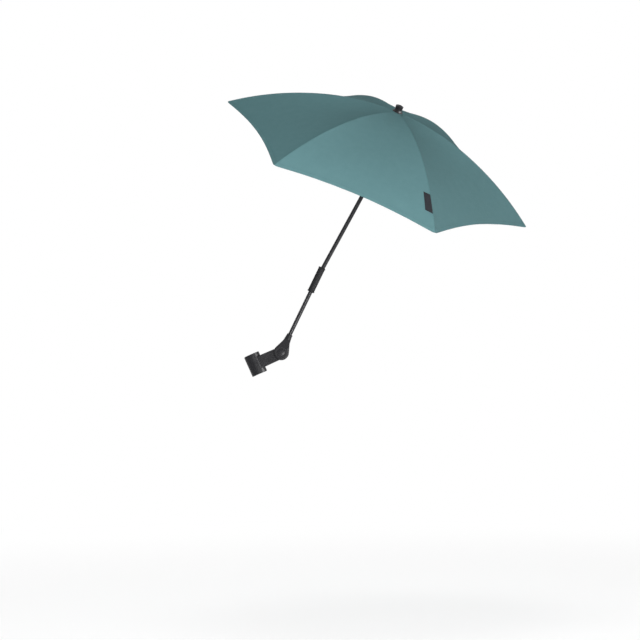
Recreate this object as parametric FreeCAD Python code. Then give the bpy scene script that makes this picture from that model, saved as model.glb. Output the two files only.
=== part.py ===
"""Pram parasol: a tube clip, a tilting arm, a turning pole and a folding hexagonal canopy.

Millimetres and degrees. The origin is the centre of the clip's bore, +Z is up and +X runs
from the clip towards the pole. Each piece is drawn in the frame of its own sub-assembly and
then placed, so a change of angle moves everything that hangs on it.
"""

import FreeCAD, Part
import math
import os

from FreeCAD import Placement, Rotation, Vector

# How the assembly stands
tube_lean = 24.0            # clip axis from vertical, top towards -X
arm_lean = 25.8             # lower rod from vertical, top towards +X
pole_lean = 28.6            # upper pole from vertical
pole_swivel = -104.6        # turn of the pole in the grip sleeve
canopy_tilt = 22.97         # knuckle bend
canopy_turn = 104.3         # turn of the ribs about the mast

# Clearances
running_gap = 0.3           # between pieces of two bodies
pin_gap = 0.15              # round a hinge pin
notch_gap = 0.4             # beside a rib or stretcher in its notch
overcut = 1.0               # how far a cutter runs past the face that it cuts

# Clip
tube_radius = 13.0          # the tube that the clip grips
liner_thick = 1.5
clip_wall = 5.3
clip_length = 53.0
clip_mouth = 112.0          # open part of the ring
clip_bevel = 1.0            # at both ends of the ring
plate_height = 32.0
plate_thick = 11.2
plate_offset = 11.5         # middle of the plate in front of the bore's axis
plate_round = 1.6
eye_radius = 15.0
pivot_reach = 70.0          # bore centre to pivot

# Pivot
bolt_radius = 4.0
bolt_head_radius = 8.7
bolt_head_height = 3.2
bolt_head_dome = 1.0
head_recess = 1.8
head_gap = 2.0              # ring groove round the bolt's head
nut_flats = 13.0
nut_height = 5.0
nut_recess = 2.0
washer_radius = 12.0
washer_thick = 0.8

# Yoke and lower rod
cheek_radius = 19.0
cheek_thick = 5.0
cheek_round = 4.0           # outer edge of the cheeks
cheek_flat = 13.3           # pivot to where the cheeks begin to close in
cheek_shoulder = 36.0       # pivot to the top of the cheeks
fork_depth = 23.0           # pivot to the bottom of the fork's gap
yoke_length = 50.0          # pivot to the top of the socket
yoke_top_radius = 7.0
yoke_root_radius = 12.0
yoke_root_height = 9.5      # pivot to the foot of the socket's cone
collar_height = 3.0
collar_step = 0.5
collar_bevel = 0.7
rod_radius = 5.0
rod_wall = 1.2
rod_insert = 25.0           # how deep the rod sits in the yoke

# Grip sleeve
sleeve_reach = 200.7        # pivot to the middle of the sleeve
sleeve_length = 67.0
sleeve_radius = 8.25
sleeve_lip = 0.9
sleeve_lip_height = 3.0
sleeve_bevel = 1.6
rod_stop = 6.0              # top of the rod below the sleeve's middle

# Upper pole
pole_radius = 5.0
pole_wall = 1.6
pole_stop = 3.0             # foot of the pole below the sleeve's middle
groove_height = 5.2
groove_depth = 0.8
groove_place = 12.0         # above the sleeve's middle
grub_radius = 2.0
knuckle_reach = 263.5       # sleeve's middle to the knuckle's axis

# Knuckle
knuckle_radius = 7.0
knuckle_cheek = 3.6
tongue_thick = 5.0
knuckle_shoulder = 8.0      # axis to either socket
socket_radius = 7.5
socket_length = 16.0
socket_floor = 1.5
screw_radius = 2.0
screw_head_radius = 3.6
screw_head_height = 2.0
screw_head_round = 1.0
screw_nut_flats = 7.0
screw_nut_height = 3.0

# Mast and cap
mast_reach = 205.0          # knuckle's axis to the top of the canopy
mast_radius = 5.0
mast_wall = 1.0
mast_in_cap = 9.0
cap_skirt_radius = 12.9
cap_skirt_edge = 0.8        # straight rim of the skirt
cap_skirt_height = 6.2      # top of the skirt, where the neck begins
cap_skirt_hollow = 0.5      # bend of the skirt's slope
cap_neck_radius = 8.7
cap_head_radius = 9.75
cap_height = 18.4
cap_dome = 2.8

# Canopy cloth
rib_count = 6
canopy_radius = 400.0       # mast to a corner
canopy_height = 141.0       # corners below the top
crest_radius = 600.0        # bend of the ribs near the top
crest_reach = 190.0         # how far out that bend goes
hem_scallop = 14.5          # hem drawn in between two ribs
panel_sag = 3.0             # hem below a straight line between two ribs
panel_hollow = 5.7          # further sag half way up a panel
cloth_thick = 1.0
cloth_hole = 9.0            # inner edge of the cloth
label_width = 17.5
label_length = 46.5
label_thick = 0.5
label_lift = 0.3            # thread between the label and the cloth
label_rib_gap = 1.5         # label to the rib beside it
label_hem_gap = 40.0        # label to the hem

# Crown
crown_radius = 15.0
crown_height = 8.0
crown_bevel = 1.5
crown_gap = 0.5             # below the cloth
hinge_ring_radius = 9.5     # where the ribs and stretchers turn
hinge_ring_drop = 5.0       # below the top of the canopy
ring_wire_radius = 0.8

# Ribs
rib_radius = 1.6
rib_below_cloth = 3.0       # rib centre below the face of the cloth
rib_short = 5.0             # rib end short of the corner
rib_start = 16.0
rib_neck_above = 0.96       # neck between the eye and the wire, over its middle line
rib_neck_below = 1.28
eye_outer_radius = 2.3
eye_thick = 2.6
bracket_reach = 76.0        # stretcher joint from the mast
bracket_length = 9.0
bracket_width = 5.4
bracket_round = 2.7
bracket_grip = 0.8          # saddle's edge above the middle of the rib
bracket_drop = 4.2          # rivet below the rib
bracket_foot = 0.4          # cheeks below the stretcher's eye
rivet_radius = 1.0

# Stretchers and runner
stretcher_length = 104.0
stretcher_radius = 1.1
stretcher_eye_radius = 2.1
stretcher_eye_thick = 2.6
runner_core_wall = 1.7
runner_radius = 13.0
runner_above = 6.0          # runner above its joints
runner_below = 10.0         # runner below its joints
runner_flange = 3.0
runner_waist_radius = 10.6
runner_bevel = 1.0
runner_slope = 1.5          # height of the slopes at the waist and the top

# Catch spring
catch_width = 2.2
catch_nose = 1.2            # height of its blunt end
catch_length = 15.0
catch_stand = 3.2           # nose proud of the mast
catch_root = 4.6            # part of it inside the mast
catch_azimuth = 30.0

ORIGIN = Vector(0, 0, 0)
X = Vector(1, 0, 0)
Y = Vector(0, 1, 0)
Z = Vector(0, 0, 1)


def turned(axis, angle):
    """Placement that only turns."""
    return Placement(ORIGIN, Rotation(axis, angle))


def moved(x, y, z):
    """Placement that only moves."""
    return Placement(Vector(x, y, z), Rotation())


# Frames of the sub-assemblies, each on the one that carries it
clip_frame = turned(Y, -tube_lean)
pivot_point = clip_frame.multVec(Vector(pivot_reach, -plate_offset, 0))
arm_frame = Placement(pivot_point, Rotation(Y, arm_lean))
sleeve_point = arm_frame.multVec(Vector(0, 0, sleeve_reach))
pole_frame = Placement(sleeve_point, Rotation(Y, pole_lean))
knuckle_frame = pole_frame * moved(0, 0, knuckle_reach) * turned(Z, pole_swivel)
head_frame = knuckle_frame * turned(Y, canopy_tilt)
canopy_frame = head_frame * moved(0, 0, mast_reach) * turned(Z, canopy_turn)


def rib_frame(index):
    """Frame of one rib's plane: X runs outwards along the rib."""
    return canopy_frame * turned(Z, index * 360.0 / rib_count)


def rod(radius, z_low, z_high):
    """Upright cylinder between two heights."""
    return Part.makeCylinder(radius, z_high - z_low, Vector(0, 0, z_low), Z)


def tube(radius, wall, z_low, z_high):
    """Upright tube between two heights."""
    return rod(radius, z_low, z_high).cut(rod(radius - wall, z_low - overcut, z_high + overcut))


def disc(radius, y_low, y_high, x=0.0, z=0.0):
    """Cylinder along Y between two places."""
    return Part.makeCylinder(radius, y_high - y_low, Vector(x, y_low, z), Y)


def block(x_low, x_high, y_low, y_high, z_low, z_high):
    """Box between two corners."""
    size = (x_high - x_low, y_high - y_low, z_high - z_low)
    return Part.makeBox(*size, Vector(x_low, y_low, z_low))


def hexagon(flats, y_low, y_high):
    """Six-sided prism along Y."""
    corner = flats / math.sqrt(3)
    turns = [math.radians(60 * i) for i in range(7)]
    points = [Vector(corner * math.cos(a), y_low, corner * math.sin(a)) for a in turns]
    return Part.Face(Part.makePolygon(points)).extrude(Vector(0, y_high - y_low, 0))


def revolved(outline):
    """Solid of revolution about Z from a closed wire in the XZ plane."""
    return Part.Face(outline).revolve(ORIGIN, Z, 360)


def polygon_wire(pairs):
    """Closed wire in the XZ plane."""
    points = [Vector(x, 0, z) for x, z in pairs]
    return Part.makePolygon(points + points[:1])


def polygon_wire_yz(pairs):
    """Closed wire in the YZ plane."""
    points = [Vector(0, y, z) for y, z in pairs]
    return Part.makePolygon(points + points[:1])


def dome_middle(radius, height):
    """How far out and how high a round dome is half way along its curve."""
    ball = (radius ** 2 + height ** 2) / (2 * height)
    half = math.asin(radius / ball) / 2
    return ball * math.sin(half), height - ball * (1 - math.cos(half))


def union(*shapes):
    """One solid from several that touch."""
    return shapes[0].multiFuse(list(shapes[1:])).removeSplitter()


# Clip

clip_bore = tube_radius + liner_thick
clip_outer = clip_bore + clip_wall
fork_half = plate_thick / 2 + washer_thick + running_gap
fork_outer = fork_half + cheek_thick


def mouth_wedge(open_angle, reach):
    """Wedge that opens a ring towards +Y."""
    half = math.radians(open_angle / 2)
    side = reach * math.tan(half)
    corners = [ORIGIN, Vector(side, reach, 0), Vector(-side, reach, 0), ORIGIN]
    wedge = Part.Face(Part.makePolygon(corners)).extrude(Vector(0, 0, 2 * clip_length))
    return wedge.translated(Vector(0, 0, -clip_length))


def open_ring(inner, outer, length, open_angle):
    """Ring about Z with a mouth towards +Y."""
    ring = tube(outer, outer - inner, -length / 2, length / 2)
    return ring.cut(mouth_wedge(open_angle, 3 * outer))


def clip_ring():
    """Open ring with bevelled ends."""
    half = clip_length / 2
    barrel = revolved(polygon_wire([
        (0, -half),
        (clip_outer - clip_bevel, -half),
        (clip_outer, -half + clip_bevel),
        (clip_outer, half - clip_bevel),
        (clip_outer - clip_bevel, half),
        (0, half),
    ]))
    return barrel.cut(mouth_wedge(clip_mouth, 3 * clip_outer))


def clip_lips():
    """Round ends of the ring on both sides of the mouth."""
    middle = (clip_bore + clip_outer) / 2
    half = math.radians(clip_mouth / 2)
    length = clip_length - 2 * clip_bevel
    lips = []
    for side in (-1, 1):
        place = Vector(side * middle * math.sin(half), middle * math.cos(half), -length / 2)
        lips.append(Part.makeCylinder(clip_wall / 2, length, place, Z))
    return lips


def clip_plate():
    """Plate that tapers to the pivot eye, with rounded edges; the ring takes in its root."""
    half = plate_height / 2
    lean = math.atan2(half - eye_radius, pivot_reach)
    top = Vector(pivot_reach + eye_radius * math.sin(lean), 0, eye_radius * math.cos(lean))
    low = Vector(top.x, 0, -top.z)
    far = Vector(pivot_reach + eye_radius, 0, 0)
    root_top = Vector(0, 0, half)
    root_low = Vector(0, 0, -half)
    edges = [
        Part.LineSegment(root_low, root_top).toShape(),
        Part.LineSegment(root_top, top).toShape(),
        Part.Arc(top, far, low).toShape(),
        Part.LineSegment(low, root_low).toShape(),
    ]
    plate = Part.Face(Part.Wire(edges)).extrude(Vector(0, plate_thick, 0))
    plate.translate(Vector(0, -plate_thick / 2, 0))
    long_edges = [e for e in plate.Edges if abs(abs(e.CenterOfMass.y) - plate_thick / 2) < 1e-3]
    outer_edges = [e for e in long_edges if e.CenterOfMass.x > plate_round]
    plate = plate.makeFillet(plate_round, outer_edges)
    return plate.translated(Vector(0, -plate_offset, 0))


def clip_body():
    body = union(clip_ring(), clip_plate(), *clip_lips())
    body = body.cut(rod(clip_bore, -clip_length, clip_length))
    return body.cut(disc(bolt_radius + pin_gap, -2 * clip_outer, clip_outer, pivot_reach))


def clip_liner():
    return open_ring(tube_radius, clip_bore, clip_length, clip_mouth)


def pivot_washers():
    front = -plate_offset - plate_thick / 2
    back = -plate_offset + plate_thick / 2
    rings = []
    for start in (front - washer_thick, back):
        end = start + washer_thick
        ring = disc(washer_radius, start, end, pivot_reach)
        hole = disc(bolt_radius + pin_gap, start - overcut, end + overcut, pivot_reach)
        rings.append(ring.cut(hole))
    return Part.makeCompound(rings)


# Arm: the pivot's bolt, the yoke, the rod and the grip sleeve

def pivot_bolt():
    seat = -(fork_outer - head_recess)
    crown_y = seat - bolt_head_height
    edge_y = crown_y + bolt_head_dome
    top = Vector(0, crown_y, 0)
    edge = Vector(bolt_head_radius, edge_y, 0)
    out, rise = dome_middle(bolt_head_radius, bolt_head_dome)
    middle = Vector(out, edge_y - rise, 0)
    seat_edge = Vector(bolt_head_radius, seat, 0)
    seat_middle = Vector(0, seat, 0)
    outline = Part.Wire([
        Part.Arc(top, middle, edge).toShape(),
        Part.LineSegment(edge, seat_edge).toShape(),
        Part.LineSegment(seat_edge, seat_middle).toShape(),
        Part.LineSegment(seat_middle, top).toShape(),
    ])
    head = Part.Face(outline).revolve(ORIGIN, Y, 360)
    shank = disc(bolt_radius, seat, fork_outer - nut_recess + nut_height)
    return union(head, shank)


def pivot_nut():
    low = fork_outer - nut_recess
    nut = hexagon(nut_flats, low, low + nut_height)
    return nut.cut(disc(bolt_radius, low - overcut, low + nut_height + overcut))


def yoke_cheek():
    """Both cheeks in one block, round about the pivot, with rounded outer edges."""
    lean = math.asin((cheek_radius - yoke_top_radius) / cheek_shoulder)
    side = Vector(cheek_radius * math.cos(lean), 0, cheek_radius * math.sin(lean))
    other = Vector(-side.x, 0, side.z)
    top = Vector(yoke_top_radius * math.cos(lean), 0, cheek_shoulder)
    top_other = Vector(-top.x, 0, top.z)
    edges = [
        Part.LineSegment(top_other, top).toShape(),
        Part.LineSegment(top, side).toShape(),
        Part.Arc(side, Vector(0, 0, -cheek_radius), other).toShape(),
        Part.LineSegment(other, top_other).toShape(),
    ]
    cheek = Part.Face(Part.Wire(edges)).extrude(Vector(0, 2 * fork_outer, 0))
    cheek.translate(Vector(0, -fork_outer, 0))
    rims = [e for e in cheek.Edges if abs(abs(e.CenterOfMass.y) - fork_outer) < 1e-3]
    outline = [e for e in rims if e.CenterOfMass.z < cheek_shoulder - 1e-3]
    return cheek.makeFillet(cheek_round, outline)


def yoke_socket():
    """Tapered socket with a collar at its top."""
    collar_low = yoke_length - collar_height
    collar_radius = yoke_top_radius + collar_step
    return revolved(polygon_wire([
        (0, yoke_root_height),
        (yoke_root_radius, yoke_root_height),
        (yoke_top_radius, collar_low),
        (collar_radius, collar_low + collar_step),
        (collar_radius, yoke_length - collar_bevel),
        (collar_radius - collar_bevel, yoke_length),
        (0, yoke_length),
    ]))


def yoke():
    collar_low = yoke_length - collar_height
    taper = Part.Face(polygon_wire_yz([
        (-fork_outer, -cheek_radius),
        (fork_outer, -cheek_radius),
        (fork_outer, cheek_flat),
        (yoke_top_radius, collar_low),
        (-yoke_top_radius, collar_low),
        (-fork_outer, cheek_flat),
    ])).extrude(Vector(4 * cheek_radius, 0, 0)).translated(Vector(-2 * cheek_radius, 0, 0))
    body = union(yoke_cheek().common(taper), yoke_socket())
    body = body.cut(disc(fork_depth, -fork_half, fork_half))
    body = body.cut(disc(bolt_radius, -2 * fork_outer, 2 * fork_outer))
    recess_radius = bolt_head_radius + head_gap
    body = body.cut(disc(recess_radius, -2 * fork_outer, -(fork_outer - head_recess)))
    body = body.cut(hexagon(nut_flats, fork_outer - nut_recess, 2 * fork_outer))
    return body.cut(rod(rod_radius, yoke_length - rod_insert, yoke_length + overcut))


def lower_rod():
    return tube(rod_radius, rod_wall, yoke_length - rod_insert, sleeve_reach - rod_stop)


def grip_sleeve():
    half = sleeve_length / 2
    lip = sleeve_radius + sleeve_lip
    body = revolved(polygon_wire([
        (0, -half),
        (lip - sleeve_bevel, -half),
        (lip, -half + sleeve_bevel),
        (lip, -half + sleeve_lip_height),
        (sleeve_radius, -half + sleeve_lip_height + sleeve_lip),
        (sleeve_radius, half - sleeve_lip_height - sleeve_lip),
        (lip, half - sleeve_lip_height),
        (lip, half - sleeve_bevel),
        (lip - sleeve_bevel, half),
        (0, half),
    ]))
    body = body.cut(rod(rod_radius, -half - overcut, -rod_stop))
    set_angle = turned(Y, pole_lean - arm_lean)
    pole_hole = rod(pole_radius + running_gap, -pole_stop - running_gap, sleeve_length)
    pole_hole.Placement = set_angle
    screw_hole = disc(grub_radius, 0, 2 * lip, 0, groove_place)
    screw_hole.Placement = set_angle
    body = body.cut(pole_hole).cut(screw_hole)
    return body.translated(Vector(0, 0, sleeve_reach))


def grub_screw():
    tip = pole_radius - groove_depth + running_gap
    return disc(grub_radius, tip, sleeve_radius - running_gap, 0, groove_place)


# Pole and knuckle

def upper_pole():
    top = knuckle_reach - knuckle_shoulder - socket_floor
    pole = tube(pole_radius, pole_wall, -pole_stop, top)
    low = groove_place - groove_height / 2
    return pole.cut(tube(pole_radius + overcut, groove_depth + overcut, low, low + groove_height))


def knuckle_socket(direction):
    """Socket beyond the shoulder, along +Z or -Z."""
    low = knuckle_shoulder
    floor = knuckle_shoulder + socket_floor
    high = floor + socket_length
    if direction > 0:
        return rod(socket_radius, low, high), rod(pole_radius, floor, high + overcut)
    return rod(socket_radius, -high, -low), rod(pole_radius, -high - overcut, -floor)


def knuckle_fork():
    inner = tongue_thick / 2 + running_gap
    outer = inner + knuckle_cheek
    socket, hole = knuckle_socket(-1)
    pieces = [socket]
    foot = -knuckle_shoulder - socket_floor
    for low, high in ((-outer, -inner), (inner, outer)):
        leg = block(-knuckle_radius, knuckle_radius, low, high, foot, 0)
        leg = leg.common(rod(socket_radius, 2 * foot, knuckle_radius))
        pieces.append(disc(knuckle_radius, low, high))
        pieces.append(leg)
    fork = union(*pieces).cut(hole)
    return fork.cut(disc(screw_radius, -2 * outer, 2 * outer))


def knuckle_screw():
    outer = tongue_thick / 2 + running_gap + knuckle_cheek
    shank = disc(screw_radius, -outer - screw_nut_height, outer)
    head = disc(screw_head_radius, outer, outer + screw_head_height)
    edges = [e for e in head.Edges if e.CenterOfMass.y > outer + screw_head_height - 1e-3]
    return union(shank, head.makeFillet(screw_head_round, edges))


def knuckle_nut():
    outer = tongue_thick / 2 + running_gap + knuckle_cheek
    nut = hexagon(screw_nut_flats, -outer - screw_nut_height, -outer)
    return nut.cut(disc(screw_radius, -2 * outer, 0))


def knuckle_tongue():
    half = tongue_thick / 2
    socket, hole = knuckle_socket(1)
    top = knuckle_shoulder + socket_floor
    neck = block(-knuckle_radius, knuckle_radius, -half, half, 0, top)
    neck = neck.common(rod(socket_radius, -knuckle_radius, 2 * top))
    tongue = union(socket, neck, disc(knuckle_radius, -half, half)).cut(hole)
    return tongue.cut(disc(screw_radius + pin_gap, -tongue_thick, tongue_thick))


# Head: the mast, the catch, the crown and the cap, with heights from the top of the canopy

def runner_open_drop():
    """Depth of the runner's joints below the canopy's top, canopy open."""
    joint = bracket_joint()
    across = joint.x - hinge_ring_radius
    return -joint.z + math.sqrt(stretcher_length ** 2 - across ** 2)


def mast():
    foot = -mast_reach + knuckle_shoulder + socket_floor
    pipe = tube(mast_radius, mast_wall, foot, mast_in_cap)
    top = catch_top() + running_gap
    half = catch_width / 2 + running_gap
    slot = block(0, 2 * mast_radius, -half, half, top - catch_length - 2 * running_gap, top)
    slot.Placement = turned(Z, catch_azimuth)
    return pipe.cut(slot)


def catch_top():
    """The catch's nose stands just under the open runner."""
    return -runner_open_drop() - runner_below - running_gap


def catch_spring():
    top = catch_top()
    nose = mast_radius + catch_stand
    root = mast_radius - catch_root
    outline = polygon_wire([
        (root, top),
        (nose, top),
        (nose, top - catch_nose),
        (mast_radius - mast_wall, top - catch_length),
        (root, top - catch_length),
    ])
    leaf = Part.Face(outline).extrude(Vector(0, catch_width, 0))
    leaf.translate(Vector(0, -catch_width / 2, 0))
    leaf.Placement = turned(Z, catch_azimuth) * leaf.Placement
    return leaf


def crown():
    top = -cloth_thick - crown_gap
    low = top - crown_height
    hub = revolved(polygon_wire([
        (mast_radius, low),
        (crown_radius - crown_bevel, low),
        (crown_radius, low + crown_bevel),
        (crown_radius, top),
        (mast_radius, top),
    ]))
    core = hinge_ring_radius - eye_outer_radius - running_gap
    half = rib_radius + notch_gap
    for index in range(rib_count):
        slot = block(core, 2 * crown_radius, -half, half, low - overcut, top + overcut)
        slot.Placement = turned(Z, index * 360.0 / rib_count)
        hub = hub.cut(slot)
    return hub.cut(crown_ring())


def crown_ring():
    return Part.makeTorus(hinge_ring_radius, ring_wire_radius, Vector(0, 0, -hinge_ring_drop), Z)


def cap():
    """Knob with a sloping skirt that holds the cloth down on the crown."""
    shoulder = cap_height - cap_dome
    foot = Vector(cap_skirt_radius, 0, 0)
    skirt_edge = Vector(cap_skirt_radius, 0, cap_skirt_edge)
    neck_low = Vector(cap_neck_radius, 0, cap_skirt_height)
    slope = (skirt_edge - neck_low).normalize()
    skirt_middle = (skirt_edge + neck_low) / 2 + Vector(slope.z, 0, -slope.x) * cap_skirt_hollow
    head_edge = Vector(cap_head_radius, 0, shoulder)
    out, rise = dome_middle(cap_head_radius, cap_dome)
    head_middle = Vector(out, 0, shoulder + rise)
    top = Vector(0, 0, cap_height)
    bore_top = Vector(0, 0, mast_in_cap)
    bore_edge = Vector(mast_radius, 0, mast_in_cap)
    bore_low = Vector(mast_radius, 0, 0)
    outline = Part.Wire([
        Part.LineSegment(bore_low, foot).toShape(),
        Part.LineSegment(foot, skirt_edge).toShape(),
        Part.Arc(skirt_edge, skirt_middle, neck_low).toShape(),
        Part.LineSegment(neck_low, head_edge).toShape(),
        Part.Arc(head_edge, head_middle, top).toShape(),
        Part.LineSegment(top, bore_top).toShape(),
        Part.LineSegment(bore_top, bore_edge).toShape(),
        Part.LineSegment(bore_edge, bore_low).toShape(),
    ])
    return revolved(outline)


# Canopy

crest_angle = math.asin(crest_reach / crest_radius)
crest_drop = crest_radius * (1 - math.cos(crest_angle))
skirt_chord = math.hypot(canopy_radius - crest_reach, canopy_height - crest_drop)
skirt_lean = math.atan2(canopy_height - crest_drop, canopy_radius - crest_reach)
skirt_radius = skirt_chord / (2 * math.sin(skirt_lean - crest_angle))
skirt_centre_x = crest_reach - skirt_radius * math.sin(crest_angle)
skirt_centre_z = -crest_drop - skirt_radius * math.cos(crest_angle)


def ridge_height(reach, below=0.0):
    """Height of the cloth's ridge, or of a line set below it, at a distance from the mast."""
    if reach <= (crest_radius - below) * math.sin(crest_angle):
        return -crest_radius + math.sqrt((crest_radius - below) ** 2 - reach ** 2)
    across = reach - skirt_centre_x
    return skirt_centre_z + math.sqrt((skirt_radius - below) ** 2 - across ** 2)


def ridge_slope(reach, below=0.0):
    """Downward slope of that line, in degrees."""
    if reach <= (crest_radius - below) * math.sin(crest_angle):
        return math.degrees(math.asin(reach / (crest_radius - below)))
    return math.degrees(math.asin((reach - skirt_centre_x) / (skirt_radius - below)))


def cloth_point(along, across, lift):
    """Point of a panel: along runs from the hole to the hem, across from one rib to the next."""
    bow = 4 * across * (1 - across)
    edge = canopy_radius - hem_scallop * bow
    reach = cloth_hole + (edge - cloth_hole) * along
    pitch = math.radians(360.0 / rib_count)
    x = reach * (1 - across + across * math.cos(pitch))
    y = reach * across * math.sin(pitch)
    sag = panel_sag * reach / canopy_radius + panel_hollow * (4 * along * (1 - along)) ** 2
    return Vector(x, y, ridge_height(reach) - sag * bow + lift)


def cloth_solid(along_range, across_range, lift, thick, rows, columns):
    """Closed solid of a piece of cloth between two runs of a panel."""
    faces = []
    borders = []
    for level in (lift, lift - thick):
        grid = []
        for i in range(rows):
            along = along_range[0] + (along_range[1] - along_range[0]) * i / (rows - 1)
            line = []
            for j in range(columns):
                across = across_range[0] + (across_range[1] - across_range[0]) * j / (columns - 1)
                line.append(cloth_point(along, across, level))
            grid.append(line)
        surface = Part.BSplineSurface()
        surface.interpolate(grid)
        faces.append(surface.toShape())
        u_low, u_high, v_low, v_high = surface.bounds()
        borders.append([
            surface.uIso(u_low).toShape(),
            surface.uIso(u_high).toShape(),
            surface.vIso(v_low).toShape(),
            surface.vIso(v_high).toShape(),
        ])
    for upper, lower in zip(*borders):
        faces.append(Part.makeRuledSurface(upper, lower))
    shell = Part.makeShell(faces)
    shell.sewShape()
    solid = Part.makeSolid(Part.Shell(shell.Faces))
    if solid.Volume < 0:
        solid.reverse()
    return solid


def canopy_panel():
    return cloth_solid((0, 1), (0, 1), 0, cloth_thick, 15, 7)


def label_patch():
    """Bare patch on a panel, its long side along the rib at the panel's far edge."""
    length = canopy_radius - cloth_hole
    outer = 1 - label_hem_gap / length
    inner = outer - label_length / length
    width = 2 * canopy_radius * math.sin(math.radians(180.0 / rib_count)) * (outer + inner) / 2
    far = 1 - label_rib_gap / width
    near = far - label_width / width
    return cloth_solid((inner, outer), (near, far), label_lift + label_thick, label_thick, 5, 3)


# Ribs and stretchers, drawn in the plane of one rib

def rib_line_point(reach):
    return Vector(reach, 0, ridge_height(reach, rib_below_cloth))


def rib():
    """Steel rib: a wire along two arcs, with a flat eye at its root."""
    start = rib_line_point(rib_start)
    bend = rib_line_point((crest_radius - rib_below_cloth) * math.sin(crest_angle))
    end = rib_line_point(canopy_radius - rib_short)
    first = Part.Arc(start, rib_line_point((start.x + bend.x) / 2), bend).toShape()
    second = Part.Arc(bend, rib_line_point((bend.x + end.x) / 2), end).toShape()
    slope = math.radians(ridge_slope(rib_start, rib_below_cloth))
    section = Part.Wire([Part.makeCircle(rib_radius, start, Vector(math.cos(slope), 0, -math.sin(slope)))])
    wire = Part.Wire([first, second]).makePipeShell([section], True, False)
    root = Vector(hinge_ring_radius, 0, -hinge_ring_drop)
    half = eye_thick / 2
    eye = disc(eye_outer_radius, -half, half, root.x, root.z)
    run = start - root
    neck = block(0, run.Length + rib_radius / 2, -half, half, -rib_neck_below, rib_neck_above)
    neck.Placement = Placement(root, Rotation(X, run))
    ball = Part.makeSphere(rib_radius, end)
    body = union(wire, eye, neck, ball)
    hole = ring_wire_radius + pin_gap + half ** 2 / (2 * hinge_ring_radius)
    return body.cut(disc(hole, -eye_thick, eye_thick, root.x, root.z))


def bracket_frame():
    """Frame on the rib at the stretcher's joint, X along the rib."""
    place = rib_line_point(bracket_reach)
    return Placement(place, Rotation(Y, ridge_slope(bracket_reach, rib_below_cloth)))


def bracket_joint():
    """Rivet of the stretcher's joint."""
    return bracket_frame().multVec(Vector(0, 0, -bracket_drop))


def rib_bracket(rib_solid):
    """Saddle crimped on the rib, with a rivet between its cheeks."""
    half = bracket_width / 2
    foot = -bracket_drop - stretcher_eye_radius - bracket_foot
    saddle = block(-bracket_length / 2, bracket_length / 2, -half, half, foot, bracket_grip)
    lower = [e for e in saddle.Edges if abs(e.CenterOfMass.z - foot) < 1e-3 and e.BoundBox.YLength > half]
    saddle = saddle.makeFillet(bracket_round, lower)
    slot_half = stretcher_eye_thick / 2 + running_gap
    slot = block(-bracket_length, bracket_length, -slot_half, slot_half, 2 * foot, -rib_radius - pin_gap)
    saddle = saddle.cut(slot)
    saddle = saddle.fuse(disc(rivet_radius, -half, half, 0, -bracket_drop))
    saddle.Placement = bracket_frame()
    return saddle.cut(rib_solid)


def stretcher():
    joint = bracket_joint()
    foot = Vector(hinge_ring_radius, 0, -runner_open_drop())
    run = foot - joint
    bar = Part.makeCylinder(stretcher_radius, run.Length, joint, run)
    half = stretcher_eye_thick / 2
    outer_eye = disc(stretcher_eye_radius, -half, half, joint.x, joint.z)
    inner_eye = disc(stretcher_eye_radius, -half, half, foot.x, foot.z)
    body = union(bar, outer_eye, inner_eye)
    body = body.cut(disc(rivet_radius + pin_gap, -3 * half, 3 * half, joint.x, joint.z))
    return body.cut(disc(ring_wire_radius, -3 * half, 3 * half, foot.x, foot.z))


def runner():
    """Slider with one open notch for the foot of each stretcher."""
    middle = -runner_open_drop()
    top = middle + runner_above
    low = middle - runner_below
    core = mast_radius + running_gap
    core_outer = core + runner_core_wall
    body = revolved(polygon_wire([
        (core, low),
        (runner_radius - runner_bevel, low),
        (runner_radius, low + runner_bevel),
        (runner_radius, low + runner_flange),
        (runner_waist_radius, low + runner_flange + runner_slope),
        (runner_waist_radius, middle - runner_bevel - runner_slope),
        (runner_radius, middle - runner_bevel),
        (runner_radius, top - runner_slope),
        (runner_radius - runner_slope, top),
        (core, top),
    ]))
    half = stretcher_eye_thick / 2 + notch_gap
    for index in range(rib_count):
        notch = block(core_outer, 2 * runner_radius, -half, half, low - overcut, top + overcut)
        notch.Placement = turned(Z, index * 360.0 / rib_count)
        body = body.cut(notch)
    return body


def pieces():
    """Every node with its solid in the part's own frame."""
    made = {}

    def add(name, shape, frame):
        made[name] = placed(shape, frame)

    add("clip_body", clip_body(), clip_frame)
    add("clip_liner", clip_liner(), clip_frame)
    add("pivot_washers", pivot_washers(), clip_frame)
    for make in (pivot_bolt, pivot_nut, yoke, lower_rod, grip_sleeve):
        add(make.__name__, make(), arm_frame)
    add("grub_screw", grub_screw(), pole_frame)
    add("upper_pole", upper_pole(), pole_frame)
    for make in (knuckle_fork, knuckle_screw, knuckle_nut):
        add(make.__name__, make(), knuckle_frame)
    add("knuckle_tongue", knuckle_tongue(), head_frame)
    for make in (mast, catch_spring, crown, crown_ring, cap, runner):
        add(make.__name__, make(), canopy_frame)
    rib_solid = rib()
    shapes = {
        "canopy_panel": canopy_panel(),
        "rib": rib_solid,
        "rib_bracket": rib_bracket(rib_solid),
        "stretcher": stretcher(),
    }
    for index in range(rib_count):
        for name, shape in shapes.items():
            add("%s_%d" % (name, index + 1), shape, rib_frame(index))
    add("label_patch", label_patch(), rib_frame(rib_count - 2))
    return made


def placed(shape, frame):
    """Copy of a shape moved into the part's own frame."""
    copy = shape.copy()
    copy.Placement = frame * copy.Placement
    return copy


def main():
    os.makedirs("parts", exist_ok=True)
    for name, shape in pieces().items():
        if not shape.isValid():
            print("not valid:", name)
        shape.exportStep(os.path.join("parts", name + ".step"))


if __name__ == "__main__":
    main()
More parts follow.
